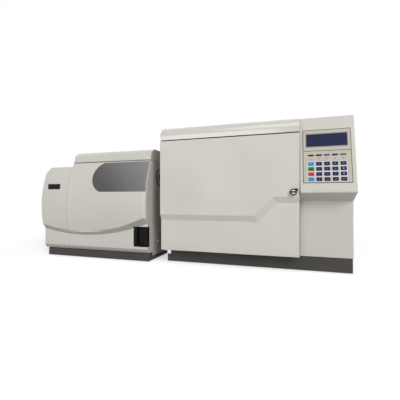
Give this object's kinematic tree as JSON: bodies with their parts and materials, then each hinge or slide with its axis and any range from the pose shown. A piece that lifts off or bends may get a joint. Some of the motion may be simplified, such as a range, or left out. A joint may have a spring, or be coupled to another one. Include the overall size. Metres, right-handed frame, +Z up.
{
  "type": "gas chromatograph mass spectrometer",
  "caption": "Bench gas chromatograph with hinged oven door, lid and keypad console, joined by a heated line to a mass detector with a bowed pull-off front cover.",
  "frame": {"origin": "bottom centre of the bounding box, on the bench", "axes": "+X to the right along both cabinets, -Y towards the operator, +Z up"},
  "size_m": [1.167, 0.598, 0.5],
  "materials": {
    "plinth_dark": "satin dark grey",
    "foot_rubber": "matt",
    "cabinet_paint": "satin warm light grey",
    "moulded_shell": "satin warm light grey",
    "deck_steel": "satin",
    "overlay_cream": "printed film",
    "display_navy": "gloss",
    "lamp_purple": "gloss",
    "oven_stainless": "brushed",
    "mineral_wool": "matt fibrous",
    "motor_casing": "satin",
    "column_amber": "gloss",
    "injector_metal": "turned",
    "hinge_steel": "bright",
    "knob_black": "satin black",
    "black_plastic": "matt moulded",
    "smoked_window": "smoked, speckled",
    "manifold_aluminium": "milled",
    "board_green": "solder mask",
    "key_navy": "satin",
    "key_sky": "satin",
    "key_green": "satin",
    "key_red": "satin",
    "key_blue": "satin"
  },
  "bodies": {
    "cabinet": {"rubber_feet": "foot_rubber", "gc_plinth": "plinth_dark", "ms_plinth": "plinth_dark", "gc_left_panel": "cabinet_paint", "gc_right_panel": "cabinet_paint", "gc_rear_panel": "cabinet_paint", "gc_front_frame": "deck_steel", "console_housing": "moulded_shell", "console_overlay": "overlay_cream", "display_window": "display_navy", "status_lamps": "lamp_purple", "cabinet_hinges": "hinge_steel", "oven_liner": "oven_stainless", "oven_insulation": "mineral_wool", "fan_motor": "motor_casing", "oven_baffle": "oven_stainless", "capillary_column": "column_amber", "column_cage": "oven_stainless", "injection_port": "injector_metal", "transfer_line": "oven_stainless", "transfer_port_ring": "black_plastic", "pod_shell": "moulded_shell", "switch_bezel": "black_plastic", "ms_top_cover": "moulded_shell", "ms_side_panel": "cabinet_paint", "vacuum_manifold": "manifold_aluminium", "turbo_pump": "motor_casing", "control_boards": "board_green", "rear_fittings": "black_plastic"},
    "oven_door": {"oven_door": "cabinet_paint", "oven_door_plug": "oven_stainless"},
    "door_latch": {"door_latch_knob": "knob_black"},
    "top_lid": {"gc_top_cover": "moulded_shell"},
    "fan": {"oven_fan": "oven_stainless"},
    "vent_flap": {"oven_vent_flap": "injector_metal"},
    "front_cover": {"ms_front_cover": "moulded_shell", "ms_window": "smoked_window", "ms_grip": "black_plastic"},
    "rocker_1": {"power_rocker_1": "black_plastic"},
    "rocker_2": {"power_rocker_2": "black_plastic"},
    "key_r1_c1": {"key_r1_c1": "key_sky"},
    "key_r1_c2": {"key_r1_c2": "key_navy"},
    "key_r1_c3": {"key_r1_c3": "key_navy"},
    "key_r1_c4": {"key_r1_c4": "key_navy"},
    "key_r1_c5": {"key_r1_c5": "key_navy"},
    "key_r2_c1": {"key_r2_c1": "key_green"},
    "key_r2_c2": {"key_r2_c2": "key_navy"},
    "key_r2_c3": {"key_r2_c3": "key_navy"},
    "key_r2_c4": {"key_r2_c4": "key_navy"},
    "key_r2_c5": {"key_r2_c5": "key_navy"},
    "key_r3_c1": {"key_r3_c1": "key_red"},
    "key_r3_c2": {"key_r3_c2": "key_navy"},
    "key_r3_c3": {"key_r3_c3": "key_navy"},
    "key_r3_c4": {"key_r3_c4": "key_navy"},
    "key_r3_c5": {"key_r3_c5": "key_navy"},
    "key_r4_c1": {"key_r4_c1": "key_blue"},
    "key_r4_c2": {"key_r4_c2": "key_navy"},
    "key_r4_c3": {"key_r4_c3": "key_navy"},
    "key_r4_c4": {"key_r4_c4": "key_navy"},
    "key_r4_c5": {"key_r4_c5": "key_navy"}
  },
  "joints": [
    {"name": "oven_door_swing", "type": "hinge", "parent": "cabinet", "child": "oven_door", "pos_m": [-0.0445, -0.253, 0.25], "axis": [0, 0, -1], "range_deg": [0, 95]},
    {"name": "latch_turn", "type": "hinge", "parent": "oven_door", "child": "door_latch", "pos_m": [0.4035, -0.281, 0.259], "axis": [0, -1, 0], "range_deg": [0, 90]},
    {"name": "top_lid_lift", "type": "hinge", "parent": "cabinet", "child": "top_lid", "pos_m": [0, 0.064, 0.495], "axis": [-1, 0, 0], "range_deg": [0, 60]},
    {"name": "oven_fan_spin", "type": "hinge", "parent": "cabinet", "child": "fan", "pos_m": [0.1635, 0.004, 0.255], "axis": [0, 1, 0], "continuous": true},
    {"name": "vent_flap_tilt", "type": "hinge", "parent": "cabinet", "child": "vent_flap", "pos_m": [0.1935, 0.2713, 0.388], "axis": [1, 0, 0], "range_deg": [0, 50]},
    {"name": "front_cover_pull", "type": "slide", "parent": "cabinet", "child": "front_cover", "axis": [0, -1, 0], "range_m": [0, 0.12]},
    {"name": "rocker_1_tilt", "type": "hinge", "parent": "cabinet", "child": "rocker_1", "pos_m": [-0.53725, -0.29005, 0.287], "axis": [-1, 0, 0], "range_deg": [0, 10]},
    {"name": "rocker_2_tilt", "type": "hinge", "parent": "cabinet", "child": "rocker_2", "pos_m": [-0.51175, -0.29005, 0.287], "axis": [-1, 0, 0], "range_deg": [0, 10]},
    {"name": "key_r1_c1_press", "type": "slide", "parent": "cabinet", "child": "key_r1_c1", "axis": [0, 0.9736, -0.2284], "range_m": [0, 0.0005], "stiffness_N_per_m": 600, "springref_m": -0.0005},
    {"name": "key_r1_c2_press", "type": "slide", "parent": "cabinet", "child": "key_r1_c2", "axis": [0, 0.9736, -0.2284], "range_m": [0, 0.0005], "stiffness_N_per_m": 600, "springref_m": -0.0005},
    {"name": "key_r1_c3_press", "type": "slide", "parent": "cabinet", "child": "key_r1_c3", "axis": [0, 0.9736, -0.2284], "range_m": [0, 0.0005], "stiffness_N_per_m": 600, "springref_m": -0.0005},
    {"name": "key_r1_c4_press", "type": "slide", "parent": "cabinet", "child": "key_r1_c4", "axis": [0, 0.9736, -0.2284], "range_m": [0, 0.0005], "stiffness_N_per_m": 600, "springref_m": -0.0005},
    {"name": "key_r1_c5_press", "type": "slide", "parent": "cabinet", "child": "key_r1_c5", "axis": [0, 0.9736, -0.2284], "range_m": [0, 0.0005], "stiffness_N_per_m": 600, "springref_m": -0.0005},
    {"name": "key_r2_c1_press", "type": "slide", "parent": "cabinet", "child": "key_r2_c1", "axis": [0, 0.9736, -0.2284], "range_m": [0, 0.0005], "stiffness_N_per_m": 600, "springref_m": -0.0005},
    {"name": "key_r2_c2_press", "type": "slide", "parent": "cabinet", "child": "key_r2_c2", "axis": [0, 0.9736, -0.2284], "range_m": [0, 0.0005], "stiffness_N_per_m": 600, "springref_m": -0.0005},
    {"name": "key_r2_c3_press", "type": "slide", "parent": "cabinet", "child": "key_r2_c3", "axis": [0, 0.9736, -0.2284], "range_m": [0, 0.0005], "stiffness_N_per_m": 600, "springref_m": -0.0005},
    {"name": "key_r2_c4_press", "type": "slide", "parent": "cabinet", "child": "key_r2_c4", "axis": [0, 0.9736, -0.2284], "range_m": [0, 0.0005], "stiffness_N_per_m": 600, "springref_m": -0.0005},
    {"name": "key_r2_c5_press", "type": "slide", "parent": "cabinet", "child": "key_r2_c5", "axis": [0, 0.9736, -0.2284], "range_m": [0, 0.0005], "stiffness_N_per_m": 600, "springref_m": -0.0005},
    {"name": "key_r3_c1_press", "type": "slide", "parent": "cabinet", "child": "key_r3_c1", "axis": [0, 0.9736, -0.2284], "range_m": [0, 0.0005], "stiffness_N_per_m": 600, "springref_m": -0.0005},
    {"name": "key_r3_c2_press", "type": "slide", "parent": "cabinet", "child": "key_r3_c2", "axis": [0, 0.9736, -0.2284], "range_m": [0, 0.0005], "stiffness_N_per_m": 600, "springref_m": -0.0005},
    {"name": "key_r3_c3_press", "type": "slide", "parent": "cabinet", "child": "key_r3_c3", "axis": [0, 0.9736, -0.2284], "range_m": [0, 0.0005], "stiffness_N_per_m": 600, "springref_m": -0.0005},
    {"name": "key_r3_c4_press", "type": "slide", "parent": "cabinet", "child": "key_r3_c4", "axis": [0, 0.9736, -0.2284], "range_m": [0, 0.0005], "stiffness_N_per_m": 600, "springref_m": -0.0005},
    {"name": "key_r3_c5_press", "type": "slide", "parent": "cabinet", "child": "key_r3_c5", "axis": [0, 0.9736, -0.2284], "range_m": [0, 0.0005], "stiffness_N_per_m": 600, "springref_m": -0.0005},
    {"name": "key_r4_c1_press", "type": "slide", "parent": "cabinet", "child": "key_r4_c1", "axis": [0, 0.9736, -0.2284], "range_m": [0, 0.0005], "stiffness_N_per_m": 600, "springref_m": -0.0005},
    {"name": "key_r4_c2_press", "type": "slide", "parent": "cabinet", "child": "key_r4_c2", "axis": [0, 0.9736, -0.2284], "range_m": [0, 0.0005], "stiffness_N_per_m": 600, "springref_m": -0.0005},
    {"name": "key_r4_c3_press", "type": "slide", "parent": "cabinet", "child": "key_r4_c3", "axis": [0, 0.9736, -0.2284], "range_m": [0, 0.0005], "stiffness_N_per_m": 600, "springref_m": -0.0005},
    {"name": "key_r4_c4_press", "type": "slide", "parent": "cabinet", "child": "key_r4_c4", "axis": [0, 0.9736, -0.2284], "range_m": [0, 0.0005], "stiffness_N_per_m": 600, "springref_m": -0.0005},
    {"name": "key_r4_c5_press", "type": "slide", "parent": "cabinet", "child": "key_r4_c5", "axis": [0, 0.9736, -0.2284], "range_m": [0, 0.0005], "stiffness_N_per_m": 600, "springref_m": -0.0005}
  ]
}
